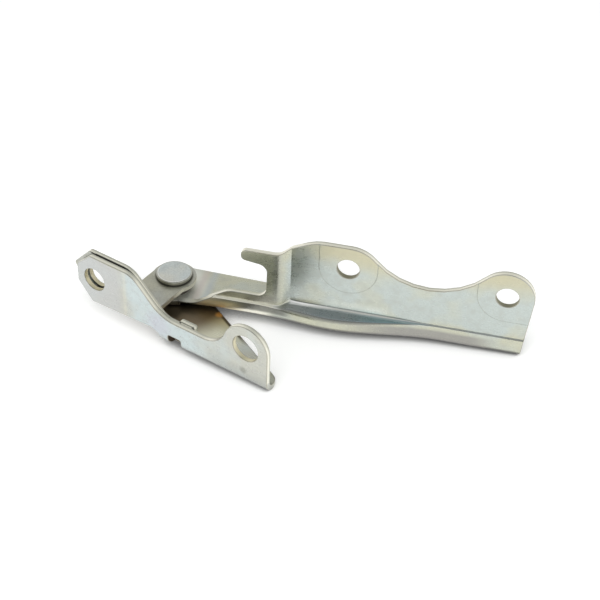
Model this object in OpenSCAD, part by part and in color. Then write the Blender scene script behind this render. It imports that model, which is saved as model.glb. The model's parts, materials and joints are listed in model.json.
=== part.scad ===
// Bonnet hinge: a riveted fork of two nested angle stampings and a swinging arm.
// The pivot axis is Z. The origin is on that axis, at the flat lower head of the rivet.
// X runs along the body bracket, and the bracket's outer mounting face looks towards -Y.

/* [Sheet metal] */
// Thickness of the bracket and arm stampings
sheet_t = 2.4; // [2:0.1:3]
// Outer radius of the bend between the bracket plate and its web
web_bend_r = 5; // [4:0.5:6]
// Outer radius of the other sheet bends
bend_r = 3.8; // [3.4:0.1:4.2]
// Gap left between the two nested bracket sheets
sheet_gap = 0.8; // [0.1:0.1:1]

/* [Pivot] */
// Diameter of the rivet shank
shank_d = 9; // [7:0.5:10]
// Diameter of the upper rivet head
head_d = 15.6; // [14:0.2:17]
// Height of the upper rivet head
head_h = 2; // [1.4:0.1:3]
// Diameter of the formed lower rivet head
tail_d = 13.6; // [12.6:0.2:16]
// Height of the formed lower rivet head
tail_h = 2.2; // [1.4:0.1:3]
// Chamfer round the rim of both rivet heads
head_chamfer = 0.3; // [0.2:0.1:0.8]
// Outer diameter of the bush pressed into the arm's eye
bush_d = 12; // [11.5:0.1:13.5]
// Thickness of the bush flange
bush_flange_t = 0.8; // [0.6:0.1:1.2]
// Outer diameter of the bush flange and of the washers
washer_d = 15.6; // [15:0.2:18.6]
// Thickness of the flat washers
washer_t = 0.8; // [0.4:0.1:1]
// Fitted height of the wave spring washer
wave_h = 1; // [0.8:0.1:1.4]
// Thickness of the wave spring washer's strip
wave_t = 0.4; // [0.3:0.05:0.5]
// Running clearance between shank and bush, on the radius
run_clear = 0.05; // [0.02:0.01:0.1]
// Clearance of the set shank in the fork's holes, on the radius
set_clear = 0.03; // [0.01:0.01:0.05]
// End play of the arm in the fork, at each side
end_play = 0.1; // [0.05:0.05:0.2]

/* [Body bracket] */
// Distance from the pivot axis to the bracket's outer face
plate_offset = 29; // [27:0.5:33]
// Distance from the pivot axis to the bracket's left edge
plate_left = 29.3; // [28.5:0.1:33]
// Height of the left lug's lower edge at its outer end
lug_low = 7.1; // [6.6:0.1:8]
// Height of the left lug's upper edge
lug_high = 31.4; // [29:0.2:34]
// Height of the waist between the lugs
waist_z = 16; // [15:0.1:18]
// Place of the left bolt hole along the bracket, from the pivot
hole_l_x = -20.1; // [-21:0.1:-19]
// Height of the left bolt hole
hole_l_z = 19.8; // [18:0.2:21]
// Diameter of the left bolt hole
hole_l_d = 10.8; // [8:0.2:11.4]
// Place of the right bolt hole along the bracket, from the pivot
hole_r_x = 58.6; // [57:0.2:64]
// Height of the right bolt hole
hole_r_z = 21.4; // [20:0.2:24]
// Diameter of the right bolt hole, wider for adjustment
hole_r_d = 12.4; // [10:0.2:13.6]
// Radius of the right lug
lug_r = 10.8; // [10:0.1:12.5]
// Radius of the web's round end under the pivot
web_end_r = 10.4; // [10:0.1:12]
// Depth of the web at its narrow right end, from the outer face
web_end_depth = 8; // [7.2:0.2:11]
// Start of the web's bend along the bracket, from the pivot
web_start = 13.5; // [12.5:0.5:16]
// Width of the relief window in the web's bend
relief_w = 6.8; // [4:0.2:7]
// Centre of the relief window along the bracket, from the pivot
relief_x = 22.2; // [21:0.1:25]
// Distance from the pivot axis to the rear sheet's pointed left end
rear_left = 33.6; // [32:0.2:36]
// Height of the rear sheet's upper edge
rear_high = 30.9; // [29:0.1:33]
// How far the rear sheet's outline lies to the left of the front one
rear_shift = 2.9; // [1:0.1:4]
// Right end of the rear sheet behind the waist, from the pivot
tab_end = 30.6; // [29:0.2:33]
// Radius of the ear's round end
ear_r = 9.7; // [9.2:0.1:10.4]
// Left edge of the ear's neck, from the pivot
neck_left = 9.4; // [8:0.1:9.7]
// Right edge of the ear's neck, from the pivot
neck_right = 8.4; // [7:0.1:9.2]

/* [Arm] */
// Angle of the arm from the bracket as drawn
rest_angle = 21; // [5:1:40]
// Length of the arm from the pivot to its end
arm_len = 152; // [150:0.5:165]
// Radius of the arm's round pivot end
arm_end_r = 11.2; // [10.6:0.1:12]
// Width of the web behind the pivot line, at the pivot
web_near = 13.5; // [12.5:0.1:15]
// Width of the web behind the pivot line, at the arm's far end
web_tail = 8; // [4:0.2:10]
// Place of the front lip's lower strip, ahead of the pivot line
lip_y = 9.6; // [9:0.1:10.6]
// Place of the bead's crest, ahead of the pivot line
bead_y = 12; // [10.6:0.1:13]
// Place of the flange's outer face, ahead of the pivot line
flange_y = 6; // [5.4:0.1:6.6]
// How far the lip's lower strip stands proud of the wall above it
lip_step = 1; // [0.6:0.1:1.5]
// How far the far strip stands proud of the flange
strip_step = 0.6; // [0.4:0.1:1.2]
// Height of the fold between bead and flange
fold_z = 9.2; // [9:0.1:10.5]
// Height of the fold on the front lip
lip_fold_z = 7.6; // [7:0.1:9]
// Radius of the fold between bead and flange
fold_r = 1.4; // [1:0.1:1.8]
// Place of the flange's crease along the arm
crease_x = 53; // [51:0.5:56]
// Length of the slanted wall beside the crease
crease_w = 5.5; // [4:0.5:7]
// How far the flange dips back at its crease
crease_dip = 0.4; // [0:0.1:1.2]
// Length over which the flange comes forward again past its crease
crease_run = 8; // [6:1:12]
// Height of the front lip
lip_h = 11.2; // [10.5:0.1:13]
// Place of the flange's left edge along the arm
flange_x = 43.4; // [42:0.2:46]
// Place of the prong's tip along the arm
prong_x = 32; // [30:0.2:34]
// Height of the prong's upper edge
prong_z = 34.2; // [33:0.1:36]
// Width of the prong at its tip
prong_w = 4.8; // [4.6:0.1:6]
// Place of the first bonnet bolt hole along the arm
hole_1_x = 77.2; // [75:0.2:80]
// Height of the first bonnet bolt hole above the arm's underside
hole_1_z = 31.4; // [29:0.1:33]
// Place of the second bonnet bolt hole along the arm
hole_2_x = 143.4; // [141:0.2:150]
// Height of the second bonnet bolt hole above the arm's underside
hole_2_z = 30.2; // [28:0.1:32]
// Diameter of the bonnet bolt holes
bonnet_hole_d = 9.6; // [8:0.2:12]
// Height of the first lug's upper edge
lug_1_top = 41.9; // [40:0.1:44]
// Radius of the first lug's far shoulder
lug_1_r = 13.7; // [12:0.1:15]
// Radius of the second lug
lug_2_r = 11.8; // [10.6:0.1:13]
// Radius of the waist between the arm's lugs
waist_r = 30; // [27:0.5:34]
// Radius of the coined seats round the bonnet bolt holes
seat_r = 12.5; // [9:0.1:13]
// Height of the coined seats above the flange
seat_h = 0.25; // [0.1:0.05:0.4]

/* [Hidden] */
$fn = 64;

// Levels of the pivot stack, from the rivet's lower face upwards
web_z = tail_h;
lower_washer_z = web_z + sheet_t;
arm_z = lower_washer_z + washer_t + end_play;
bush_flange_z = arm_z + sheet_t;
upper_washer_z = bush_flange_z + bush_flange_t + end_play;
wave_z = upper_washer_z + washer_t;
ear_z = wave_z + wave_h;
head_z = ear_z + sheet_t;

// Planes and limits of the bracket's sheets
front_y = -plate_offset;
front_back_y = front_y + sheet_t;
rear_y = front_back_y + sheet_gap;
rear_back_y = rear_y + sheet_t;
plate_right = hole_r_x + lug_r;
bend_top = web_z + web_bend_r;

// Spare length of cuts and of stock that is trimmed later
over = 1;
// Points on an arc
steps = 8;

function unit(v) = v / norm(v);
function turn(a) = a > 180 ? a - 360 : a < -180 ? a + 360 : a;
function flip(list) = [for (i = [len(list) - 1:-1:0]) list[i]];
function smooth(a, b, x) = let (s = min(1, max(0, (x - a) / (b - a)))) s * s * (3 - 2 * s);
function angle_of(v) = atan2(v[1], v[0]);

// Points of an arc
function arc(c, r, a0, a1, n = steps) =
    [for (i = [0:n]) let (a = a0 + (a1 - a0) * i / n) c + r * [cos(a), sin(a)]];

// Points of a rounded corner at b between a and c, with the radius changed by grow
function corner(a, b, c, r, grow = 0) =
    let (u = unit(a - b), v = unit(c - b), half = acos(u * v) / 2,
         m = b + unit(u + v) * r / sin(half),
         a0 = angle_of(b + u * r / tan(half) - m),
         a1 = angle_of(b + v * r / tan(half) - m))
    arc(m, r + grow, a0, a0 + turn(a1 - a0));

// Closed outline through corners written as x, y and radius
function rounded(p) = let (n = len(p), xy = [for (q = p) [q[0], q[1]]])
    [for (i = [0:n - 1])
        each (p[i][2] > 0 ? corner(xy[(i + n - 1) % n], xy[i], xy[(i + 1) % n], p[i][2]) : [xy[i]])];

// Point where a line from p touches a circle, on the side given by side
function tangent(p, c, r, side) =
    let (d = c - p, a = angle_of(d) + side * asin(r / norm(d)))
    p + sqrt(d * d - r * r) * [cos(a), sin(a)];

// Centre of a circle of radius r that touches two circles from outside, above them
function cradle(c1, r1, c2, r2, r) =
    let (d = norm(c2 - c1), u = unit(c2 - c1), v = [-u[1], u[0]],
         p = r1 + r, q = r2 + r, a = (p * p - q * q + d * d) / (2 * d))
    c1 + a * u + sqrt(p * p - a * a) * v;

// Extrudes a drawing of X and Z along Y, from y0 to y1
module wall(y0, y1) {
    translate([0, y1, 0])
        rotate([90, 0, 0])
            linear_extrude(y1 - y0)
                children();
}

// Extrudes a drawing of Y and Z along X, from x0 to x1
module along_x(x0, x1) {
    translate([x0, 0, 0])
        rotate([90, 0, 90])
            linear_extrude(x1 - x0)
                children();
}

// Round bar along Y at x and z, between y0 and y1
module bar_y(x, z, d, y0, y1) {
    translate([x, y1, z])
        rotate([90, 0, 0])
            cylinder(d = d, h = y1 - y0);
}

// Plain ring on the pivot axis
module ring(d_out, d_in, h, z) {
    translate([0, 0, z])
        difference() {
            cylinder(d = d_out, h = h);
            translate([0, 0, -over])
                cylinder(d = d_in, h = h + 2 * over);
        }
}

// Section of a bend with one leg up and one leg back, drawn as Y and Z
module bend_section(y, z, r, up, back) {
    difference() {
        union() {
            translate([y, z + r])
                square([sheet_t, up - r]);
            translate([y + r, z])
                square([back - r, sheet_t]);
            translate([y + r, z + r])
                intersection() {
                    circle(r = r);
                    translate([-r, -r])
                        square(r);
                }
        }
        translate([y + r, z + r])
            circle(r = r - sheet_t);
    }
}

// Outline of the bracket's front plate, above its bend
lug_chamfer_x = 7.2;
lug_chamfer_high = 6.8;
lug_chamfer_low = 8.6;
lug_corner_r = 1.5;
shoulder_x = 0.2;
shoulder_r = 10;
waist_in_r = 16;
waist_out_r = 12;
lug_low_rise = 1.4;
bend_ramp = 3;
module front_outline() {
    lug = [hole_r_x, hole_r_z];
    rise = waist_z + waist_out_r - hole_r_z;
    reach = lug_r + waist_out_r;
    m = [hole_r_x - sqrt(reach * reach - rise * rise), waist_z + waist_out_r];
    touch = angle_of(lug - m);
    lug_x = lug_chamfer_x - plate_left;
    edge = rounded([
        [web_start, bend_top, 0],
        [web_start - bend_ramp, lug_low + lug_low_rise, 0],
        [lug_x, lug_low, lug_corner_r],
        [-plate_left, lug_low + lug_chamfer_low, lug_corner_r],
        [-plate_left, lug_high - lug_chamfer_high, lug_corner_r],
        [lug_x, lug_high, lug_corner_r],
        [shoulder_x, lug_high, shoulder_r],
        [shoulder_x + lug_high - waist_z, waist_z, waist_in_r],
        [m[0], waist_z, 0]]);
    polygon(concat(
        edge,
        arc(m, waist_out_r, -90, touch),
        arc(lug, lug_r, touch + 180, 0, 2 * steps),
        [[plate_right, bend_top]]));
}

// Plan of the bracket's web: a gusset from the bend to the round end under the pivot
web_corner_r = 5.5;
module web_plan() {
    right_front = [plate_right, front_y - over];
    right_back = [plate_right, front_y + web_end_depth];
    left_front = [web_start, front_y + web_bend_r];
    back_touch = tangent(right_back, [0, 0], web_end_r, -1);
    left_touch = tangent(left_front, [0, 0], web_end_r, 1);
    polygon(concat(
        [[web_start, front_y - over], right_front],
        corner(right_front, right_back, back_touch, web_corner_r),
        arc([0, 0], web_end_r, angle_of(back_touch), 360 + angle_of(left_touch), 3 * steps),
        [left_front]));
}

// Front sheet of the bracket: plate with two lugs, bent into the lower fork web
relief_top = 8.5;
relief_r = 1;
module base_plate() {
    color("silver")
        difference() {
            union() {
                wall(front_y, front_back_y)
                    front_outline();
                intersection() {
                    along_x(-web_end_r - over, plate_right + over)
                        bend_section(front_y, web_z, web_bend_r, web_bend_r + over,
                            plate_offset + web_end_r + over);
                    translate([0, 0, web_z - over])
                        linear_extrude(web_bend_r + 2 * over)
                            web_plan();
                }
            }
            bar_y(hole_l_x, hole_l_z, hole_l_d, front_y - over, front_back_y + over);
            bar_y(hole_r_x, hole_r_z, hole_r_d, front_y - over, front_back_y + over);
            wall(front_y - over, front_y + web_bend_r)
                polygon(rounded([
                    [relief_x - relief_w / 2, web_z - over, 0],
                    [relief_x - relief_w / 2, relief_top, relief_r],
                    [relief_x + relief_w / 2, relief_top, relief_r],
                    [relief_x + relief_w / 2, web_z - over, 0]]));
            translate([0, 0, web_z - over])
                cylinder(d = shank_d + 2 * set_clear, h = sheet_t + 2 * over);
        }
}

// Outline of the rear sheet, with slots beside the root of the ear
rear_tip_z = 21.6;
strip_low = 8.6;
strip_high = 13.4;
strip_r = 8;
tab_start = 22.6;
tab_high = 15.9;
tab_r = 1;
weld_inset = 0.3;
slot_w = 1.4;
module rear_outline() {
    lug_x = lug_chamfer_x - plate_left - rear_shift;
    top_x = shoulder_x - rear_shift;
    difference() {
        polygon(rounded([
            [lug_x, lug_low, lug_corner_r],
            [-rear_left, rear_tip_z, lug_corner_r],
            [lug_x, rear_high, lug_corner_r],
            [top_x, rear_high, shoulder_r],
            [top_x + rear_high - strip_high, strip_high, strip_r],
            [tab_start, strip_high, tab_r],
            [tab_start, tab_high, tab_r],
            [tab_end, tab_high, tab_r],
            [tab_end, strip_low, tab_r],
            [neck_right, strip_low, 0],
            [-neck_left, lug_low, 0]]));
        translate([-neck_left - slot_w, lug_low - over])
            square([neck_left + neck_right + 2 * slot_w, ear_z + bend_r - lug_low + over]);
    }
}

// Drawing of the weld pad that joins the rear sheet's tab to the front sheet
module weld_pad() {
    translate([tab_start + tab_r, strip_low + tab_r])
        square([tab_end - tab_start - 2 * tab_r, tab_high - weld_inset - strip_low - tab_r]);
}

// Rear sheet of the bracket: left lug and waist strip, bent into the upper fork ear
module ear_plate() {
    color("darkgray")
        difference() {
            union() {
                wall(rear_y, rear_back_y)
                    rear_outline();
                along_x(-neck_left, neck_right)
                    bend_section(rear_y, ear_z, bend_r, bend_r + over, -rear_y);
                translate([0, 0, ear_z])
                    cylinder(r = ear_r, h = sheet_t);
                wall(front_back_y, rear_back_y - sheet_t / 2)
                    weld_pad();
            }
            bar_y(hole_l_x, hole_l_z, hole_l_d, rear_y - over, rear_back_y + over);
            translate([0, 0, ear_z - over])
                cylinder(d = shank_d + 2 * set_clear, h = sheet_t + 2 * over);
        }
}

// Outer faces of the arm's wall along its length, ahead of the pivot line
lip_start = 4.5;
lip_full = 25;
bead_start = 40;
bead_peak = 71;
bead_end = 117;
crease_soft = 0.6;
strip_y = flange_y + strip_step;
lip_wall_y = lip_y - lip_step;
function strip_at(x) = -arm_end_r + (arm_end_r - lip_y) * smooth(0, lip_full, x)
    - (bead_y - lip_y) * smooth(bead_start, bead_peak, x)
    + (bead_y - strip_y) * smooth(bead_peak, bead_end, x);
function joggle_at(x) = let (s = min(1, max(0, (x - crease_x + crease_w) / crease_w)))
    (s < crease_soft ? s * s / crease_soft : 2 * s - crease_soft) / (2 - crease_soft);
function dip_at(x) = crease_dip * joggle_at(x) * pow(max(0, 1 - max(0, x - crease_x) / crease_run), 2);
function wall_at(x) = strip_at(min(x, bead_start)) + lip_step
    + (lip_wall_y - flange_y) * joggle_at(x) + dip_at(x);
function fold_at(x) = lip_fold_z + (fold_z - lip_fold_z) * joggle_at(x);
function back_at(x) = web_near + (web_tail - web_near) * x / arm_len;

// Section of the arm at x: web, bend, strip, ledge of the bead, fold and flange
stock_z = lug_1_top + over;
ledge_slope = 0.4;
ledge_share = 0.45;
fold_share = 0.3;
function arm_side(p, r) = concat(
    [p[0]],
    corner(p[0], p[1], p[2], r[0]),
    corner(p[1], p[2], p[3], r[1]),
    corner(p[2], p[3], p[4], r[2]),
    [p[4]]);
function arm_section(x) =
    let (ys = strip_at(x), yw = wall_at(x), zf = fold_at(x), zs = zf - ledge_slope * (yw - ys),
         slant = sqrt(1 + ledge_slope * ledge_slope), run = (yw - ys) * slant,
         drop = sheet_t * (slant - ledge_slope), in_r = bend_r - sheet_t,
         outer = [[back_at(x), 0], [ys, 0], [ys, zs], [yw, zf], [yw, stock_z]],
         shift = [[0, sheet_t], [sheet_t, sheet_t], [sheet_t, -drop], [sheet_t, -drop], [sheet_t, 0]])
    concat(
        arm_side(outer, [bend_r, min(bend_r, ledge_share * run), min(fold_r, fold_share * run)]),
        flip(arm_side(outer + shift,
            [in_r, min(in_r, ledge_share * run), min(fold_r + sheet_t, ledge_share * run)])));

// Solid through equal rings of points
module loft(rings) {
    n = len(rings);
    m = len(rings[0]);
    sides = [for (k = [0:n - 2], i = [0:m - 1]) let (p = k * m, q = p + m, j = (i + 1) % m)
        each [[p + i, p + j, q + j], [p + i, q + j, q + i]]];
    first = [for (i = [m - 1:-1:0]) i];
    last = [for (i = [0:m - 1]) (n - 1) * m + i];
    polyhedron([for (r = rings) each r], concat(sides, [first, last]));
}

// Stations of the loft, closer together on the crease's slanted wall and just past it
station = 4;
lug_2_shift = 0.6;
arm_end = hole_2_x - lug_2_shift + lug_2_r;
stations = concat(
    [for (x = [lip_start:station:crease_x - crease_w - over]) x],
    [for (i = [0:steps]) crease_x - crease_w * (1 - i / steps)],
    [for (x = [crease_x + station / 2:station / 2:crease_x + crease_run]) x],
    [for (x = [crease_x + crease_run + station:station:arm_end]) x],
    [arm_end + over]);

// Outline of the arm's wall: lip, prong, first lug, waist, second lug and far end
lip_rise = 11.5;
lip_top_x = 26.5;
lip_r = 9;
notch_r = 4.2;
notch_lean = 0.3;
prong_drop = 1.8;
prong_r = 2.2;
saddle_x = 47.8;
saddle_r = 10;
brow_x = 62.5;
brow_r = 20;
lug_1_shift = 0.8;
end_corner_r = 2;
module arm_outline() {
    c1 = [hole_1_x + lug_1_shift, lug_1_top - lug_1_r];
    c2 = [hole_2_x - lug_2_shift, hole_2_z];
    m = cradle(c1, lug_1_r, c2, lug_2_r, waist_r);
    a1 = angle_of(m - c1);
    a2 = angle_of(m - c2);
    foot = [arm_len, 0];
    end_touch = tangent(foot, c2, lug_2_r, -1);
    edge = rounded([
        [lip_start, -over, 0],
        [lip_start, sheet_t, 0],
        [lip_rise, sheet_t, lip_r],
        [lip_top_x, lip_h, lip_r],
        [flange_x - notch_lean, lip_h, notch_r],
        [flange_x, prong_z - prong_w - prong_drop, notch_r],
        [prong_x, prong_z - prong_w, prong_r],
        [prong_x, prong_z, prong_r],
        [saddle_x, prong_z, saddle_r],
        [brow_x, lug_1_top, brow_r],
        [c1[0], lug_1_top, 0]]);
    polygon(concat(
        edge,
        arc(c1, lug_1_r, 90, a1),
        arc(m, waist_r, a1 + 180, a2 + 180),
        arc(c2, lug_2_r, a2, angle_of(end_touch - c2), 2 * steps),
        corner(end_touch, foot, [0, 0], end_corner_r),
        [[arm_len / 2, 0], [arm_len / 2, -over]]));
}

// Plan of the arm's eye, with a tangent to the web's back edge
module eye_plan() {
    x = lip_start + over;
    back = [x, back_at(x)];
    touch = tangent(back, [0, 0], arm_end_r, -1);
    front = acos(lip_start / arm_end_r);
    polygon(concat(
        arc([0, 0], arm_end_r, angle_of(touch), 360 - front, 3 * steps),
        [[x, -arm_end_r * sin(front)], back]));
}

// Drawing of a coined seat: a round pad that runs up to the lug's edge
module seat(x, z) {
    translate([x, z])
        circle(r = seat_r);
    translate([x - seat_r, z])
        square([2 * seat_r, 2 * seat_r]);
}

// Bonnet arm: round eye, tapering web, beaded corner and flange with two lugs
module hinge_arm() {
    color("gainsboro")
        rotate([0, 0, rest_angle])
            translate([0, 0, arm_z])
                difference() {
                    union() {
                        intersection() {
                            loft([for (x = stations) [for (q = arm_section(x)) [x, q[0], q[1]]]]);
                            wall(-2 * bead_y, 2 * arm_end_r)
                                arm_outline();
                        }
                        linear_extrude(sheet_t)
                            eye_plan();
                        wall(-flange_y - seat_h, -flange_y + sheet_t / 2)
                            intersection() {
                                arm_outline();
                                union() {
                                    seat(hole_1_x, hole_1_z);
                                    seat(hole_2_x, hole_2_z);
                                    translate([hole_2_x, hole_2_z - seat_r])
                                        square(2 * seat_r);
                                }
                            }
                    }
                    translate([0, 0, -over])
                        cylinder(d = bush_d, h = sheet_t + 2 * over);
                    bar_y(hole_1_x, hole_1_z, bonnet_hole_d, -bead_y, 0);
                    bar_y(hole_2_x, hole_2_z, bonnet_hole_d, -bead_y, 0);
                }
}

// Pivot rivet: flat chamfered heads on one shank, set through the fork
module pivot_rivet() {
    rim = head_d / 2;
    foot = tail_d / 2;
    shank = shank_d / 2;
    top = head_z + head_h;
    color("lightsteelblue")
        rotate_extrude()
            polygon([
                [0, 0],
                [foot - head_chamfer, 0],
                [foot, head_chamfer],
                [foot, tail_h],
                [shank, tail_h],
                [shank, head_z],
                [rim, head_z],
                [rim, top - head_chamfer],
                [rim - head_chamfer, top],
                [0, top]]);
}

// Flanged bush pressed into the arm's eye, running on the shank
module pivot_bush() {
    color("peru") {
        ring(bush_d, shank_d + 2 * run_clear, sheet_t, arm_z);
        ring(washer_d, shank_d + 2 * run_clear, bush_flange_t, bush_flange_z);
    }
}

// Flat washer between the fork's web and the arm
module lower_washer() {
    color("gray")
        ring(washer_d, shank_d + 2 * run_clear, washer_t, lower_washer_z);
}

// Flat washer between the bush flange and the wave spring washer
module upper_washer() {
    color("gray")
        ring(washer_d, shank_d + 2 * run_clear, washer_t, upper_washer_z);
}

// Wave spring washer with three crests between the upper washer and the ear
waves = 3;
wave_steps = 48;
module wave_washer() {
    swing = (wave_h - wave_t) / 2;
    r_in = shank_d / 2 + run_clear;
    r_out = washer_d / 2;
    points = [for (k = [0:wave_steps - 1])
        let (a = 360 * k / wave_steps, z = wave_z + swing * (1 + sin(waves * a)))
        each [for (q = [[r_in, 0], [r_out, 0], [r_out, wave_t], [r_in, wave_t]])
            [q[0] * cos(a), q[0] * sin(a), z + q[1]]]];
    faces = [for (k = [0:wave_steps - 1], i = [0:3])
        let (p = 4 * k, q = 4 * ((k + 1) % wave_steps), j = (i + 1) % 4)
        each [[p + i, q + j, p + j], [p + i, q + i, q + j]]];
    color("dimgray")
        polyhedron(points, faces);
}

base_plate();
ear_plate();
hinge_arm();
pivot_rivet();
pivot_bush();
lower_washer();
upper_washer();
wave_washer();
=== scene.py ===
import json
import math
from collections import namedtuple

import bpy
from mathutils import Matrix, Vector

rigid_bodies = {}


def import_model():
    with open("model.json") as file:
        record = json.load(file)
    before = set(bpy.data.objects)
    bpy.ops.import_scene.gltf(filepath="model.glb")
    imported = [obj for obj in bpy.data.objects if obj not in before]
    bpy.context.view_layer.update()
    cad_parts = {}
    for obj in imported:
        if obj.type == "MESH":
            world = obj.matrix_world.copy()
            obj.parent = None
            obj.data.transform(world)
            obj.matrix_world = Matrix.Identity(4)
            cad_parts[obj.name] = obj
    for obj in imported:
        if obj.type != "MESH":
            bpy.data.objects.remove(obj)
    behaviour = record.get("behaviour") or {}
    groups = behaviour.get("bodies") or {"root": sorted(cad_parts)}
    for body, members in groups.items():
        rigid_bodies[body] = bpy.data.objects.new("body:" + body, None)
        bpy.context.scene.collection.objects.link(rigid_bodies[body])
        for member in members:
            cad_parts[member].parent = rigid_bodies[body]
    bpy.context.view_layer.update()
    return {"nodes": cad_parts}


for leftover in list(bpy.data.objects):
    bpy.data.objects.remove(leftover)

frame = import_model()
scene = bpy.context.scene
scene.view_settings.view_transform = "Standard"

MM = 0.001

# Camera: where it looks and from where, in the part's frame
AIM = Vector((46.6, 29.5, 2.0)) * MM
CAMERA_DISTANCE = 616.7 * MM
CAMERA_AZIMUTH = math.radians(32.33)
CAMERA_ELEVATION = math.radians(39.5)
CAMERA_ROLL = math.radians(2.4)
CAMERA_LENS = 84.0
CAMERA_CLIP = 10 * MM

# Key lamp: a soft square that the metal does not mirror
KEY_PLACE = Vector((0.32, -0.51, 1.04))
KEY_SIZE = 0.9
KEY_POWER = 7.0

# Light of the room by height of the view, 0 is level and 1 is overhead: away from the camera and on its side
FAR_ROOM = ((0.0, (0.95, 0.95, 0.96, 1)), (0.62, (0.78, 0.78, 0.75, 1)), (0.86, (0.38, 0.40, 0.40, 1)),
            (1.0, (0.22, 0.25, 0.26, 1)))
NEAR_ROOM = ((0.0, (0.95, 0.95, 0.96, 1)), (0.68, (0.95, 0.95, 0.92, 1)), (0.86, (0.40, 0.42, 0.42, 1)),
             (1.0, (0.22, 0.25, 0.26, 1)))
FAR_TO_NEAR = (-0.1, 0.5)

# Floor: the plane that the hinge rests on, by its slope along X and Y and its depth under the pivot
FLOOR_SLOPE_X = 0.0373
FLOOR_SLOPE_Y = 0.0080
FLOOR_DROP = 0.26 * MM
FLOOR_SIZE = 6.0
FLOOR_COLOUR = (0.88, 0.88, 0.88, 1.0)
FLOOR_LIFT = 0.25

# Shade of the floor where the hinge is close to it, by how open the floor is there
CONTACT_REACH = 12 * MM
CONTACT_SHADE = 0.15
CONTACT_OPEN = (0.02, 0.6)
CONTACT_SAMPLES = 8

# Rounding of the sheets' cut edges and of turned edges
SHEET_EDGE = 0.3 * MM
TURNED_EDGE = 0.1 * MM
SPRING_EDGE = 0.05 * MM
EDGE_SEGMENTS = 2
SHARP_LIMIT = math.radians(40)
WELD_GAP = 0.002 * MM
FLAT_LIMIT = math.radians(0.2)

# Noise patterns of the plating: scale per mm, detail and roughness
DRIFT = (0.06, 2.0, 0.5)
BLOTCH = (0.28, 5.0, 0.6)
GRAIN = (1.0, 4.0, 0.6)
SPECK = (2.6, 2.0, 0.5)

# Values of those patterns between which they take effect
DRIFT_RANGE = (0.3, 0.7)
BLOTCH_RANGE = (0.44, 0.72)
GRAIN_GLOSS_RANGE = (0.2, 0.8)
GRAIN_SHADE_RANGE = (0.25, 0.75)

# How strongly those patterns show in the plating's tint, gloss, shade and bumps
DRIFT_TINT = 0.55
BLOTCH_TINT = 0.4
BLOTCH_GLOSS = 0.06
GRAIN_GLOSS = 0.04
GRAIN_DARKER = 0.05
GRAIN_LIGHTER = 0.03
GRAIN_BUMP = 0.6
SPECK_BUMP = 0.4
BUMP_STRENGTH = 0.05
BUMP_HEIGHT = 0.04 * MM

# Planes of the bracket and the rivet that bound their finishes and their painted light and shade, in mm in
# the part's frame
FRONT_SHEET_BACK = -26.6
REAR_SHEET_FRONT = -25.8
REAR_SHEET_BACK = -23.4
BEND_TOP = 7.3
WEB_TOP = 4.6
WEB_BACK_ANGLE = math.radians(64.9)
WEB_BACK = 10.4
HEAD_RADIUS = 7.8
HEAD_SEAT = 13.0
SHINE_RADIUS = HEAD_RADIUS - 0.75

# The arm's turn about the pivot, and its planes in mm with that turn undone, so that X runs along the arm
ARM_ANGLE = math.radians(21)
ARM_WEB_TOP = 7.9
LIP_TOP = 16.7
LIP_FOLD = 13.1
FOLD = 14.7

# Bolt holes as place along the sheet, height and radius, and how far out the painted light and shade on their
# walls fades, in mm
BODY_HOLES = ((-20.1, 19.8, 5.4), (58.6, 21.4, 6.2))
BONNET_HOLES = ((77.2, 36.9, 4.8), (143.4, 35.7, 4.8))
BORE_FADE = (0.3, 0.1)

# Line of painted shade along the arm's coined seats: its radius and how far off it fades, in mm
SEAT_RADIUS = 12.5
SEAT_FADE = (0.7, 0.4)

# Line of painted shade in the arm's fold: where it narrows past the bead, its height and half width before
# and after, in mm
LINE_NARROWS = (100, 112)
LINE_HEIGHT = (FOLD + 0.45, FOLD + 0.15)
LINE_WIDTH = (0.65, 0.35)

# How far off its middle that line fades, in half widths
LINE_FADE = (1.0, 0.4)

# Where the bead grows and where it dies out along the arm, in mm
BEAD_START = (48, 54)
BEAD_END = (106, 118)

# Shine on the bead's ledge: where it is weak and full along the arm, in mm, and how weak
SHINE_FADE = (76, 58)
SHINE_WEAK = 0.35

# Fades that several zones share, each from none to full: faces by their normal, and heights in mm
FACES_FRONT = (-0.5, -0.9)
LIP_FRONT_FACE = (-0.2, -0.6)
FACES_UP = (0.8, 0.95)
ON_ARM_WEB = (ARM_WEB_TOP + 0.6, ARM_WEB_TOP + 0.2)
STEEP_EDGE = (0.3, 0.12)


def node(tree, kind, **values):
    """Adds a node and sets its properties, and its inputs by name or number."""
    added = tree.nodes.new(kind)
    for key, value in values.items():
        if key != "inputs":
            setattr(added, key, value)
    for socket, value in values.get("inputs", {}).items():
        if isinstance(value, bpy.types.NodeSocket):
            tree.links.new(value, added.inputs[socket])
        else:
            added.inputs[socket].default_value = value
    return added


def calc(tree, operation, a, b=0.0, clamp=False):
    """Adds a Math node on two values or sockets and returns its output."""
    return node(tree, "ShaderNodeMath", operation=operation, use_clamp=clamp, inputs={0: a, 1: b}).outputs[0]


def spread(tree, value, low, high, out_low=0.0, out_high=1.0):
    """Maps a value from low..high to out_low..out_high, smoothly and within those limits."""
    return node(tree, "ShaderNodeMapRange", interpolation_type="SMOOTHSTEP",
                inputs={0: value, 1: low, 2: high, 3: out_low, 4: out_high}).outputs[0]


def mix(tree, factor, a, b, blend="MIX"):
    """Mixes two colours or colour sockets and returns the result."""
    return node(tree, "ShaderNodeMix", data_type="RGBA", blend_type=blend,
                inputs={0: factor, 6: a, 7: b}).outputs[2]


def grey(tree, value):
    """Colour whose three parts are the same value."""
    return node(tree, "ShaderNodeCombineColor", inputs={0: value, 1: value, 2: value}).outputs[0]


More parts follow.
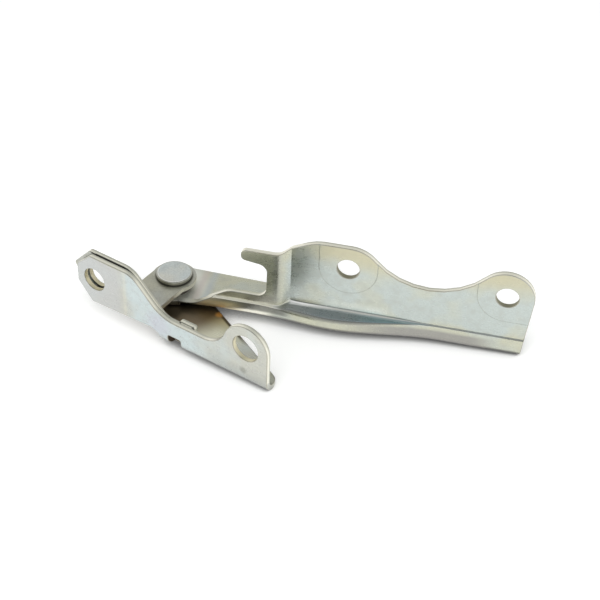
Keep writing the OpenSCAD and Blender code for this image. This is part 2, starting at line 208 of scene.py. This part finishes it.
def noise(tree, vector, scale, detail, roughness):
    """Adds a noise texture and returns its value."""
    inputs = {"Vector": vector, "Scale": scale, "Detail": detail, "Roughness": roughness}
    return node(tree, "ShaderNodeTexNoise", inputs=inputs).outputs[0]


def length(tree, a, b):
    """Distance of a point from zero by its two coordinates."""
    squares = calc(tree, "ADD", calc(tree, "MULTIPLY", a, a), calc(tree, "MULTIPLY", b, b))
    return calc(tree, "SQRT", squares)


class Surface:
    """Measures of a point on a piece, as sockets: place in mm and normal, with the piece's turn undone.

    front and flat say how squarely a face looks to the front or back, and up or down. radius is the distance
    from the pivot's axis, and web_reach the distance towards the back edge of the bracket's web.
    """

    def __init__(self, tree, turn):
        self.tree = tree
        coordinates = node(tree, "ShaderNodeTexCoord").outputs
        scaled = node(tree, "ShaderNodeVectorMath", operation="SCALE",
                      inputs={0: coordinates["Object"], 3: 1 / MM})
        self.place = self.turned(scaled.outputs[0], turn)
        self.x, self.y, self.z = node(tree, "ShaderNodeSeparateXYZ", inputs={0: self.place}).outputs
        normal = self.turned(coordinates["Normal"], turn)
        _, self.ny, self.nz = node(tree, "ShaderNodeSeparateXYZ", inputs={0: normal}).outputs
        self.front = calc(tree, "ABSOLUTE", self.ny)
        self.flat = calc(tree, "ABSOLUTE", self.nz)
        self.radius = length(tree, self.x, self.y)
        self.web_reach = calc(tree, "ADD", calc(tree, "MULTIPLY", self.x, math.cos(WEB_BACK_ANGLE)),
                              calc(tree, "MULTIPLY", self.y, math.sin(WEB_BACK_ANGLE)))

    def turned(self, vector, turn):
        """Turns a vector back by that angle about Z."""
        return node(self.tree, "ShaderNodeVectorRotate", rotation_type="Z_AXIS",
                    inputs={"Vector": vector, "Angle": -turn}).outputs[0]


def fade(tree, value, none, full, still_full=None, gone=None):
    """Rises from 0 at none to 1 at full, and falls from still_full to 0 at gone where these are given."""
    rise = spread(tree, value, none, full)
    if gone is None:
        return rise
    return calc(tree, "MULTIPLY", rise, spread(tree, value, gone, still_full))


def zone(share, *masks, **fades):
    """Mask for a Surface: the share, times other masks, times a fade along each measure that is named.

    A fade's ends are where it is none and full, or none, full, still full and gone.
    """
    def mask(s):
        total = share
        for other in masks:
            total = calc(s.tree, "MULTIPLY", total, other(s))
        for measure, ends in fades.items():
            total = calc(s.tree, "MULTIPLY", total, fade(s.tree, getattr(s, measure), *ends))
        return total
    return mask


def disc(axes, centre, none, full):
    """Mask round a point by two axes: 0 at the radius none and 1 at the radius full."""
    def mask(s):
        offsets = [calc(s.tree, "SUBTRACT", getattr(s, axis), place) for axis, place in zip(axes, centre)]
        return spread(s.tree, length(s.tree, *offsets), none, full)
    return mask


def bores(holes):
    """Mask of the walls of round holes through an upright sheet."""
    def mask(s):
        total = 0.0
        for x, z, radius in holes:
            wall = disc("xz", (x, z), *(radius + off for off in BORE_FADE))
            total = calc(s.tree, "MAXIMUM", total, wall(s))
        return total
    return mask


def sheet_edges(back):
    """Mask of the cut edges of an upright sheet whose back lies at that place along Y."""
    return zone(1.0, front=STEEP_EDGE, y=(back + 0.3, back + 0.1), z=(BEND_TOP, BEND_TOP + 0.6))


def sheet_edge_backs(back):
    """Mask of the rear half of those edges."""
    return zone(0.8, sheet_edges(back), y=(back - 1.3, back - 0.7))


def tint_patch(share, x, width):
    """Mask of a faint tint across the arm's web at x."""
    return zone(share, x=(x - width, x, x, x + width), nz=FACES_UP, z=ON_ARM_WEB)


def bead_ledge(start, full):
    """Mask of the bead's ledge, from start along the arm and in full from there on."""
    return zone(0.9, nz=(0.76, 0.86), z=(9, 10, FOLD, FOLD + 0.8), x=(start, full, *BEAD_END))


def fold_line(s):
    """Mask of the thin line of painted shade in the fold between bead and flange, thinner past the bead."""
    middle = spread(s.tree, s.x, *LINE_NARROWS, *LINE_HEIGHT)
    width = spread(s.tree, s.x, *LINE_NARROWS, *LINE_WIDTH)
    off = calc(s.tree, "ABSOLUTE", calc(s.tree, "SUBTRACT", s.z, middle))
    return spread(s.tree, calc(s.tree, "DIVIDE", off, width), *LINE_FADE)


def ledge_shine(s):
    """Strength of the shine on the bead's ledge, which weakens along the arm."""
    return spread(s.tree, s.x, *SHINE_FADE, SHINE_WEAK, 1.0)


def seat_lines(s):
    """Mask of the painted shade along the coined seats' thin outline: the first is a U, the second runs out
    to the arm's end.
    """
    total = 0.0
    for (x, z, _), both_sides in zip(BONNET_HOLES, (True, False)):
        along = calc(s.tree, "SUBTRACT", s.x, x)
        if not both_sides:
            along = calc(s.tree, "MINIMUM", along, 0.0)
        below = calc(s.tree, "MINIMUM", calc(s.tree, "SUBTRACT", s.z, z), 0.0)
        off = calc(s.tree, "SUBTRACT", length(s.tree, along, below), SEAT_RADIUS)
        line = spread(s.tree, calc(s.tree, "ABSOLUTE", off), *SEAT_FADE)
        total = calc(s.tree, "MAXIMUM", total, line)
    return total


def plated_metal(name, cool, warm, dull, rough, turn=0.0, streak=(0.12, 2.2, 2.2), bluer=zone(0.5),
                 coats=(), grainy=1.0):
    """Plating with cool and warm tints that drift, dull blotches, streaks, small bumps and local coats, many
    of them painted light and shade.
    """
    material = bpy.data.materials.new(name)
    material.use_nodes = True
    tree = material.node_tree
    shader = tree.nodes["Principled BSDF"]
    s = Surface(tree, turn)
    streaks = node(tree, "ShaderNodeMapping", inputs={"Vector": s.place, "Scale": streak}).outputs[0]
    drift = spread(tree, noise(tree, s.place, *DRIFT), *DRIFT_RANGE, -DRIFT_TINT, DRIFT_TINT)
    blotch = spread(tree, noise(tree, s.place, *BLOTCH), *BLOTCH_RANGE)
    grain = noise(tree, streaks, *GRAIN)
    speck = noise(tree, s.place, *SPECK)
    blue = calc(tree, "ADD", bluer(s), drift, clamp=True)
    colour = mix(tree, blue, warm, cool)
    colour = mix(tree, calc(tree, "MULTIPLY", blotch, BLOTCH_TINT), colour, dull)
    gloss = spread(tree, grain, *GRAIN_GLOSS_RANGE, rough - GRAIN_GLOSS, rough + GRAIN_GLOSS)
    gloss = calc(tree, "ADD", gloss, calc(tree, "MULTIPLY", blotch, BLOTCH_GLOSS))
    for coat in coats:
        share = coat.zone(s)
        colour = mix(tree, share, colour, coat.colour)
        gloss = calc(tree, "ADD", gloss, calc(tree, "MULTIPLY", share, coat.rougher))
    shade = spread(tree, grain, *GRAIN_SHADE_RANGE, 1 - GRAIN_DARKER * grainy, 1 + GRAIN_LIGHTER * grainy)
    colour = mix(tree, 1.0, colour, grey(tree, shade), "MULTIPLY")
    tree.links.new(colour, shader.inputs["Base Color"])
    tree.links.new(gloss, shader.inputs["Roughness"])
    shader.inputs["Metallic"].default_value = 1.0
    height = calc(tree, "ADD", calc(tree, "MULTIPLY", grain, GRAIN_BUMP),
                  calc(tree, "MULTIPLY", speck, SPECK_BUMP))
    bump = node(tree, "ShaderNodeBump",
                inputs={"Strength": BUMP_STRENGTH * grainy, "Distance": BUMP_HEIGHT, "Height": height})
    tree.links.new(bump.outputs[0], shader.inputs["Normal"])
    return material


# A coat is a local colour, either a tint of the plating itself, or painted light and shade: its zone, its
# colour, and how much rougher it is. Coats are laid in their order
Coat = namedtuple("Coat", "zone colour rougher", defaults=(0.0,))

# Colours that several coats share
# Cut edges: partly the paler finish of sheared steel, partly painted light falling on them from above
CUT_EDGE = (0.95, 0.93, 0.82, 1)
# Rear half of the rounded cut edges: painted shade
EDGE_BACK = (0.56, 0.56, 0.48, 1)
# Painted highlight on the walls of the bracket's bolt holes
PALE_BORE = (0.82, 0.77, 0.58, 1)
# Painted shade in the gap between the two sheets
GAP = (0.08, 0.08, 0.07, 1)

# The bracket's web behind its bend
FORK_WEB = zone(1.0, z=(WEB_TOP + 0.8, WEB_TOP + 0.3), y=(-25.5, -23), radius=(50, 40))

BRACKET_COATS = (
    # Outer face of the left lug
    Coat(zone(0.7, x=(-3, -9), ny=FACES_FRONT), (0.555, 0.56, 0.56, 1)),
    # Painted highlight: a faint upright band across the left lug, along its slight bend
    Coat(zone(0.3, x=(-5.0, -3.9, -3.3, -2.2), ny=FACES_FRONT), (0.72, 0.71, 0.61, 1)),
    # Faint lilac tint of the plate above its relief
    Coat(zone(0.6, disc("xz", (14, 12), 9, 2), ny=FACES_FRONT), (0.58, 0.58, 0.65, 1)),
    # Painted shade on the lower part of the plate under its right lug, darker towards the bottom
    Coat(zone(0.45, x=(36, 46), z=(13, 6), ny=FACES_FRONT), (0.36, 0.38, 0.37, 1)),
    # Painted shade of a small dent under the right bolt hole, slightly rougher
    Coat(zone(0.55, disc("xz", (57.6, 9.4), 2.4, 0.5), ny=(-0.3, -0.8)), (0.26, 0.26, 0.22, 1), 0.05),
    # Painted shade on the outer face of the plate's bend, darker towards the floor
    Coat(zone(0.7, z=(7.4, 3.0), y=(-23, -25)), (0.32, 0.33, 0.31, 1)),
    # The web, paler and yellower; painted shade on it, brown towards the pivot under the arm; and painted
    # shade as a dark margin along its back edge
    Coat(FORK_WEB, (0.80, 0.79, 0.64, 1), 0.05),
    Coat(zone(1.0, FORK_WEB, radius=(36, 23)), (0.24, 0.19, 0.13, 1), 0.1),
    Coat(zone(0.9, FORK_WEB, web_reach=(WEB_BACK - 1.9, WEB_BACK - 0.9), x=(16, 20)),
         (0.09, 0.075, 0.055, 1), 0.1),
    # Small bright amber spot at the web's back edge
    Coat(zone(0.9, FORK_WEB, disc("xy", (25.7, -1.9), 2.5, 0.6)), (0.86, 0.48, 0.15, 1), 0.2),
    # Cut edges, paler and partly painted light, their rear half in painted shade, and the walls of the bolt
    # holes with a painted highlight
    Coat(sheet_edges(FRONT_SHEET_BACK), CUT_EDGE, 0.15),
    Coat(sheet_edge_backs(FRONT_SHEET_BACK), EDGE_BACK, 0.1),
    Coat(bores(BODY_HOLES), PALE_BORE, 0.1),
    # Painted shade on the walls of the window in the bend
    Coat(zone(1.0, z=(9.2, 8.8), x=(18.3, 18.7, 25.7, 26), y=(-28.7, -28.4, -24, -23)),
         (0.16, 0.12, 0.08, 1), 0.2),
)

EAR_COATS = (
    # Ring of the ear that the rivet's head presses on and shades
    Coat(zone(0.8, radius=(HEAD_RADIUS + 0.9, HEAD_RADIUS + 0.2), nz=(0.3, 0.6)), (0.16, 0.15, 0.12, 1), 0.1),
    # Cut edges of the ear behind its bend, then those of its upright sheet and their rear half: paler and
    # partly painted light, the rear half in painted shade
    Coat(zone(0.8, flat=STEEP_EDGE, y=(-21, -19)), CUT_EDGE, 0.1),
    Coat(sheet_edges(REAR_SHEET_BACK), CUT_EDGE, 0.15),
    Coat(sheet_edge_backs(REAR_SHEET_BACK), EDGE_BACK, 0.1),
    # Painted shade on the front of the sheet, in the gap behind the front sheet
    Coat(zone(1.0, y=(REAR_SHEET_FRONT + 0.7, REAR_SHEET_FRONT + 0.4), x=(-22, -21, 19, 21)), GAP, 0.2),
    # Painted highlight on the walls of the bolt hole
    Coat(bores(BODY_HOLES), PALE_BORE, 0.1),
)

# Outer face of the arm's front lip, and cut edges of the arm's wall above that lip
LIP_FRONT = zone(1.0, ny=LIP_FRONT_FACE, x=(9, 15, 42, 48), z=(LIP_TOP + 1.5, LIP_TOP))
ARM_EDGES = zone(1.0, front=(0.25, 0.1), z=(LIP_TOP, LIP_TOP + 2))

ARM_COATS = (
    # Upper part of the lugs
    Coat(zone(0.75, z=(33, 47), x=(60, 70)), (0.59, 0.55, 0.38, 1), 0.02),
    # The lip: a bright painted reflection on its outer face; painted shade on its part above the fold and as
    # the dark band under the fold; and a painted highlight on the rounded fold
    Coat(LIP_FRONT, (0.98, 0.96, 0.85, 1)),
    Coat(zone(0.75, ny=LIP_FRONT_FACE, x=(20, 28, 46, 50),
              z=(LIP_FOLD + 0.4, LIP_FOLD + 0.9, LIP_TOP, LIP_TOP + 2)), (0.33, 0.32, 0.27, 1)),
    Coat(zone(0.8, ny=LIP_FRONT_FACE, x=(18, 28, 50, 56),
              z=(LIP_FOLD - 4.6, LIP_FOLD - 3.0, LIP_FOLD - 0.4, LIP_FOLD)), (0.18, 0.18, 0.165, 1)),
    Coat(zone(1.0, nz=(0.25, 0.45), x=(16, 22, 46, 52), y=(-8.3, -8.6), z=(LIP_FOLD - 1.2, LIP_FOLD - 0.6)),
         (1.0, 0.99, 0.95, 1), 0.35),
    # Painted golden reflection low on the lip, next to the fork
    Coat(zone(0.8, LIP_FRONT, x=(11, 17, 26, 36), z=(12.5, 10.0)), (1.0, 0.86, 0.54, 1), 0.25),
    # Painted light, and more roughness, on the top of the web next to the fork, and painted shade on the side
    # of the eye, in the fork's gap
    Coat(zone(0.95, radius=(18, 11), nz=FACES_UP, z=ON_ARM_WEB), (0.92, 0.92, 0.85, 1), 0.3),
    Coat(zone(1.0, radius=(13.5, 12), nz=(0.8, 0.5)), (0.16, 0.16, 0.14, 1), 0.1),
    # Faint pink and blue tints across the web
    Coat(tint_patch(0.35, 11.5, 3), (0.66, 0.55, 0.54, 1)),
    Coat(tint_patch(0.5, 15.5, 3), (0.50, 0.56, 0.62, 1)),
    # Painted shade on the bend under the strip, which faces the floor
    Coat(zone(0.85, nz=(-0.1, -0.45), z=(11, 10), x=(40, 54)), (0.15, 0.15, 0.135, 1)),
    # The bead: painted shade on its rounded outer edge, and a painted reflection on its ledge, which turns
    # from grey to blue along the arm
    Coat(zone(0.95, nz=(0.1, 0.75), z=(8.5, 9.5), y=(-6.8, -7.2), x=(*BEAD_START, *BEAD_END)),
         (0.21, 0.22, 0.215, 1)),
    Coat(bead_ledge(*BEAD_START), (0.70, 0.70, 0.68, 1)),
    Coat(bead_ledge(56, 68), (0.55, 0.60, 0.61, 1)),
    Coat(bead_ledge(76, 92), (0.48, 0.66, 0.69, 1)),
    # Painted shade on a stretch of the strip below the bead's far end
    Coat(zone(0.9, ny=(-0.6, -0.9), z=(13.6, 11.5), x=(70, 100, 130, 144)), (0.36, 0.35, 0.33, 1)),
    # Painted shade on the near side of the crease, where the bend is soft
    Coat(zone(0.75, x=(45, 47.5, 47.4, 51.4), z=(14, 16)), (0.42, 0.43, 0.39, 1)),
    # Painted light on the lower margin of the flange above the bead, a line of painted shade in the fold
    # there, and a painted highlight on the ledge next to it
    Coat(zone(0.9, z=(FOLD + 0.3, FOLD + 0.7, FOLD + 1.5, FOLD + 6), ny=(-0.7, -0.9), x=(62, 72, 90, 100)),
         (0.72, 0.76, 0.71, 1)),
    Coat(zone(0.8, fold_line, x=(53, 54), ny=(0, -0.2)), (0.13, 0.15, 0.15, 1)),
    Coat(zone(1.0, ledge_shine, nz=(0.3, 0.5), y=(-7.5, -6.9), x=(52, 54),
              z=(FOLD - 2.2, FOLD - 1.2, FOLD + 0.3, FOLD + 0.6)), (1.0, 1.0, 1.0, 1), 0.35),
    # Cut edges, paler and partly painted light: the outer half of the lip's, and the wall's with their rear
    # half in painted shade
    Coat(zone(0.8, nz=(0.3, 0.6), x=(8, 12, 44, 48), z=(LIP_TOP + 2, LIP_TOP + 1), y=(-7.0, -7.6)),
         CUT_EDGE, 0.1),
    Coat(ARM_EDGES, CUT_EDGE, 0.15),
    Coat(zone(0.8, ARM_EDGES, y=(-4.9, -4.3), x=(56, 60)), EDGE_BACK, 0.1),
    # Painted shade on the walls of the bolt holes
    Coat(bores(BONNET_HOLES), (0.30, 0.29, 0.21, 1), 0.1),
)

RIM_COATS = (
    # Painted shade on the rims of both sheets along the gap between them
    Coat(zone(1.0, y=(FRONT_SHEET_BACK - 0.45, FRONT_SHEET_BACK - 0.3, REAR_SHEET_FRONT + 0.3,
                      REAR_SHEET_FRONT + 0.45), x=(-25, -23, 18, 20)), GAP, 0.2),
    # Painted shade on the upper rim of the web's back edge
    Coat(zone(1.0, z=(WEB_TOP + 0.2, WEB_TOP + 0.1), y=(-22, -21)), (0.10, 0.08, 0.06, 1), 0.2),
)

ARM_RIM_COATS = (
    # Painted shade as a thin line along the outline of the coined seats, darker on its lower part, which
    # faces down
    Coat(zone(0.9, seat_lines), (0.46, 0.48, 0.42, 1)),
    Coat(zone(0.9, seat_lines, nz=(-0.05, -0.3)), (0.13, 0.15, 0.12, 1)),
)

RIVET_COATS = (
    # Painted shade at the foot of the head's side, where it meets the ear
    Coat(zone(0.9, z=(12, 12.8, HEAD_SEAT + 0.6, HEAD_SEAT + 1.0)), (0.10, 0.10, 0.09, 1), 0.1),
    # Painted shade as an olive ring round the top of the head, down its side
    Coat(zone(0.85, radius=(HEAD_RADIUS - 0.65, HEAD_RADIUS - 0.45), z=(HEAD_SEAT + 0.5, HEAD_SEAT + 0.8)),
         (0.40, 0.40, 0.34, 1)),
    # Painted highlight as a bright line inside that ring, on the side towards the plate
    Coat(zone(0.9, radius=(SHINE_RADIUS - 0.35, SHINE_RADIUS - 0.1, SHINE_RADIUS + 0.1, SHINE_RADIUS + 0.35),
              y=(1, -3), nz=FACES_UP), (0.98, 0.98, 0.96, 1), 0.2),
)

# Finishes: the middle of the bracket's plate and of the arm's flange are bluer than the rest
BRACKET = plated_metal(
    "bracket_plating", cool=(0.60, 0.67, 0.67, 1), warm=(0.57, 0.57, 0.51, 1), dull=(0.48, 0.49, 0.47, 1),
    rough=0.24, bluer=zone(1.0, x=(-8, 4, 26, 46), y=(-25.5, FRONT_SHEET_BACK)), coats=BRACKET_COATS)
EAR = plated_metal(
    "ear_plating", cool=(0.50, 0.51, 0.47, 1), warm=(0.53, 0.52, 0.43, 1), dull=(0.40, 0.39, 0.34, 1),
    rough=0.34, streak=(1.2, 2.0, 2.0), coats=EAR_COATS, grainy=3.0)
ARM = plated_metal(
    "arm_plating", cool=(0.55, 0.60, 0.575, 1), warm=(0.60, 0.60, 0.48, 1), dull=(0.48, 0.49, 0.45, 1),
    rough=0.28, turn=ARM_ANGLE, bluer=zone(1.0, x=(47, 54), z=(13, 19, 34, 46)), coats=ARM_COATS, grainy=0.6)
# Rounded edges of the bracket and ear: darker plating, painted shade that draws dark lines along their edges
RIM = plated_metal(
    "plate_rim_painted_shade", cool=(0.50, 0.50, 0.46, 1), warm=(0.50, 0.48, 0.38, 1), dull=(0.38, 0.37, 0.31, 1),
    rough=0.32, coats=RIM_COATS)
# Rounded edges of the arm: darker plating, painted shade that draws dark lines along them
ARM_RIM = plated_metal(
    "arm_rim_painted_shade", cool=(0.48, 0.48, 0.43, 1), warm=(0.48, 0.46, 0.36, 1), dull=(0.36, 0.35, 0.29, 1),
    rough=0.32, turn=ARM_ANGLE, coats=ARM_RIM_COATS)
RIVET = plated_metal(
    "rivet_plating", cool=(0.64, 0.71, 0.73, 1), warm=(0.76, 0.75, 0.68, 1), dull=(0.54, 0.57, 0.57, 1),
    rough=0.32, streak=(1.2, 1.2, 1.2), coats=RIVET_COATS, grainy=2.5)
# Bush, washers and wave spring: very dark, partly a dark finish of their own and partly painted shade of the
# gap under the ear
BUSH = plated_metal(
    "bush_lining", cool=(0.08, 0.075, 0.07, 1), warm=(0.10, 0.09, 0.075, 1), dull=(0.05, 0.05, 0.045, 1),
    rough=0.45, streak=(1.0, 1.0, 3.0))
WASHER = plated_metal(
    "washer_steel", cool=(0.11, 0.11, 0.105, 1), warm=(0.13, 0.12, 0.105, 1), dull=(0.08, 0.075, 0.07, 1),
    rough=0.38, streak=(1.5, 1.5, 1.5))
SPRING = plated_metal(
    "spring_steel", cool=(0.06, 0.065, 0.07, 1), warm=(0.08, 0.075, 0.07, 1), dull=(0.04, 0.04, 0.04, 1),
    rough=0.34, streak=(1.5, 1.5, 1.5))


def geometry_group(name):
    """Starts a geometry node group from mesh to mesh and returns it with its two ends."""
    tree = bpy.data.node_groups.new(name, "GeometryNodeTree")
    tree.interface.new_socket("Mesh", in_out="INPUT", socket_type="NodeSocketGeometry")
    tree.interface.new_socket("Mesh", in_out="OUTPUT", socket_type="NodeSocketGeometry")
    return tree, tree.nodes.new("NodeGroupInput").outputs[0], tree.nodes.new("NodeGroupOutput").inputs[0]


def sharper(tree, output):
    """Edges whose angle, by that output of the node, is over the limit."""
    angle = node(tree, "GeometryNodeInputMeshEdgeAngle").outputs[output]
    return node(tree, "FunctionNodeCompare", data_type="FLOAT", operation="GREATER_THAN",
                inputs={0: angle, 1: SHARP_LIMIT}).outputs[0]


def close_faces_group():
    """Joins faces that the import split, and drops their stored normals."""
    tree, start, end = geometry_group("close_faces")
    merged = node(tree, "GeometryNodeMergeByDistance", inputs={"Geometry": start, "Distance": WELD_GAP})
    plain = node(tree, "GeometryNodeRemoveAttribute",
                 inputs={"Geometry": merged.outputs[0], "Name": "custom_normal"})
    tree.links.new(plain.outputs[0], end)
    return tree


def mark_edges_group():
    """Marks outward edges for rounding."""
    tree, start, end = geometry_group("mark_edges")
    outward = sharper(tree, "Signed Angle")
    marked = node(tree, "GeometryNodeStoreNamedAttribute", data_type="FLOAT", domain="EDGE",
                  inputs={"Geometry": start, "Name": "bevel_weight_edge", "Value": outward})
    tree.links.new(marked.outputs[0], end)
    return tree


def smooth_group():
    """Shades faces smooth and keeps edges over the limit sharp."""
    tree, start, end = geometry_group("smooth_by_angle")
    faces = node(tree, "GeometryNodeSetShadeSmooth", domain="FACE",
                 inputs={"Geometry": start, "Shade Smooth": True})
    clear = node(tree, "GeometryNodeSetShadeSmooth", domain="EDGE",
                 inputs={"Geometry": faces.outputs[0], "Shade Smooth": True})
    sharp = node(tree, "GeometryNodeSetShadeSmooth", domain="EDGE",
                 inputs={"Geometry": clear.outputs[0], "Selection": sharper(tree, "Unsigned Angle"),
                         "Shade Smooth": False})
    tree.links.new(sharp.outputs[0], end)
    return tree


CLOSE_FACES = close_faces_group()
MARK_EDGES = mark_edges_group()
SMOOTH_BY_ANGLE = smooth_group()


def add_group(piece, group):
    """Adds a geometry node group to a piece as a modifier."""
    piece.modifiers.new(group.name, "NODES").node_group = group


def dress(name, material, rim_material, edge):
    """Gives a CAD node its finish and rounds its outward edges, which take the second material; on the sheets
    that one is darker, as painted shade along the edges.
    """
    piece = frame["nodes"][name]
    piece.data.materials.clear()
    piece.data.materials.append(material)
    piece.data.materials.append(rim_material)
    add_group(piece, CLOSE_FACES)
    flat = piece.modifiers.new("flat_faces", "DECIMATE")
    flat.decimate_type = "DISSOLVE"
    flat.angle_limit = FLAT_LIMIT
    add_group(piece, MARK_EDGES)
    rim = piece.modifiers.new("round_edges", "BEVEL")
    rim.width = edge
    rim.segments = EDGE_SEGMENTS
    rim.limit_method = "WEIGHT"
    rim.use_clamp_overlap = False
    rim.material = len(piece.data.materials) - 1
    add_group(piece, SMOOTH_BY_ANGLE)
    even = piece.modifiers.new("even_shading", "WEIGHTED_NORMAL")
    even.mode = "FACE_AREA"
    even.keep_sharp = True


dress("base_plate", BRACKET, RIM, SHEET_EDGE)
dress("ear_plate", EAR, RIM, SHEET_EDGE)
dress("hinge_arm", ARM, ARM_RIM, SHEET_EDGE)
dress("pivot_rivet", RIVET, RIVET, TURNED_EDGE)
dress("pivot_bush", BUSH, BUSH, TURNED_EDGE)
dress("lower_washer", WASHER, WASHER, TURNED_EDGE)
dress("upper_washer", WASHER, WASHER, TURNED_EDGE)
dress("wave_washer", SPRING, SPRING, SPRING_EDGE)


def floor_material():
    """White paint with a painted contact shadow close to the hinge, and lifted to white where the camera or a
    mirror sees it.
    """
    material = bpy.data.materials.new("floor_white")
    material.use_nodes = True
    tree = material.node_tree
    tree.nodes.clear()
    open_sky = node(tree, "ShaderNodeAmbientOcclusion", samples=CONTACT_SAMPLES,
                    inputs={"Distance": CONTACT_REACH}).outputs["AO"]
    tone = grey(tree, spread(tree, open_sky, *CONTACT_OPEN, CONTACT_SHADE, 1.0))
    white = mix(tree, 1.0, tone, FLOOR_COLOUR, "MULTIPLY")
    paint = node(tree, "ShaderNodeBsdfDiffuse", inputs={"Color": white})
    path = node(tree, "ShaderNodeLightPath").outputs
    seen = calc(tree, "MAXIMUM", path["Is Camera Ray"], path["Is Glossy Ray"])
    seen = calc(tree, "MAXIMUM", seen, path["Is Transmission Ray"])
    glow = node(tree, "ShaderNodeEmission",
                inputs={"Color": tone, "Strength": calc(tree, "MULTIPLY", seen, FLOOR_LIFT)})
    both = node(tree, "ShaderNodeAddShader", inputs={0: paint.outputs[0], 1: glow.outputs[0]})
    node(tree, "ShaderNodeOutputMaterial", inputs={"Surface": both.outputs[0]})
    return material


def add_floor():
    """Floor under the resting points of the hinge, which keeps the soft shadow."""
    mesh = bpy.data.meshes.new("floor")
    half = FLOOR_SIZE / 2
    corners = [(x, y, FLOOR_SLOPE_X * x + FLOOR_SLOPE_Y * y - FLOOR_DROP)
               for x, y in ((-half, -half), (half, -half), (half, half), (-half, half))]
    mesh.from_pydata(corners, [], [(0, 1, 2, 3)])
    floor = bpy.data.objects.new("floor", mesh)
    scene.collection.objects.link(floor)
    mesh.materials.append(floor_material())


def room_ramp(tree, height, room):
    """Colour of the room by height, through its stops."""
    ramp = node(tree, "ShaderNodeValToRGB", inputs={0: height})
    stops = ramp.color_ramp.elements
    while len(stops) < len(room):
        stops.new(0.5)
    for stop, (position, colour) in zip(stops, room):
        stop.position = position
        stop.color = colour
    return ramp.outputs[0]


def add_world():
    """Soft white room that is darker overhead and above the camera."""
    world = bpy.data.worlds.new("studio")
    scene.world = world
    world.use_nodes = True
    tree = world.node_tree
    tree.nodes.clear()
    direction = node(tree, "ShaderNodeTexCoord").outputs["Generated"]
    x, y, height = node(tree, "ShaderNodeSeparateXYZ", inputs={0: direction}).outputs
    near = calc(tree, "SUBTRACT", calc(tree, "MULTIPLY", x, math.sin(CAMERA_AZIMUTH)),
                calc(tree, "MULTIPLY", y, math.cos(CAMERA_AZIMUTH)))
    room = mix(tree, spread(tree, near, *FAR_TO_NEAR), room_ramp(tree, height, FAR_ROOM),
               room_ramp(tree, height, NEAR_ROOM))
    shell = node(tree, "ShaderNodeBackground", inputs={"Color": room, "Strength": 1.0})
    node(tree, "ShaderNodeOutputWorld", inputs={"Surface": shell.outputs[0]})


def add_key_lamp():
    """Key lamp, aimed where the camera looks."""
    data = bpy.data.lights.new("key_lamp", "AREA")
    data.shape = "SQUARE"
    data.size = KEY_SIZE
    data.energy = KEY_POWER
    lamp = bpy.data.objects.new("key_lamp", data)
    lamp.location = KEY_PLACE
    lamp.rotation_euler = (AIM - KEY_PLACE).to_track_quat("-Z", "Y").to_euler()
    lamp.visible_glossy = False
    scene.collection.objects.link(lamp)


def add_camera():
    """Camera at the photograph's place, turned round its axis by the roll."""
    out = Vector((math.sin(CAMERA_AZIMUTH) * math.cos(CAMERA_ELEVATION),
                  -math.cos(CAMERA_AZIMUTH) * math.cos(CAMERA_ELEVATION),
                  math.sin(CAMERA_ELEVATION)))
    level = Vector((math.cos(CAMERA_AZIMUTH), math.sin(CAMERA_AZIMUTH), 0.0))
    above = out.cross(level)
    right = level * math.cos(CAMERA_ROLL) + above * math.sin(CAMERA_ROLL)
    up = above * math.cos(CAMERA_ROLL) - level * math.sin(CAMERA_ROLL)
    data = bpy.data.cameras.new("camera")
    data.lens = CAMERA_LENS
    data.clip_start = CAMERA_CLIP
    camera = bpy.data.objects.new("camera", data)
    axes = Matrix((right, up, out)).transposed()
    camera.matrix_world = Matrix.Translation(AIM + out * CAMERA_DISTANCE) @ axes.to_4x4()
    scene.collection.objects.link(camera)
    scene.camera = camera


add_floor()
add_world()
add_key_lamp()
add_camera()
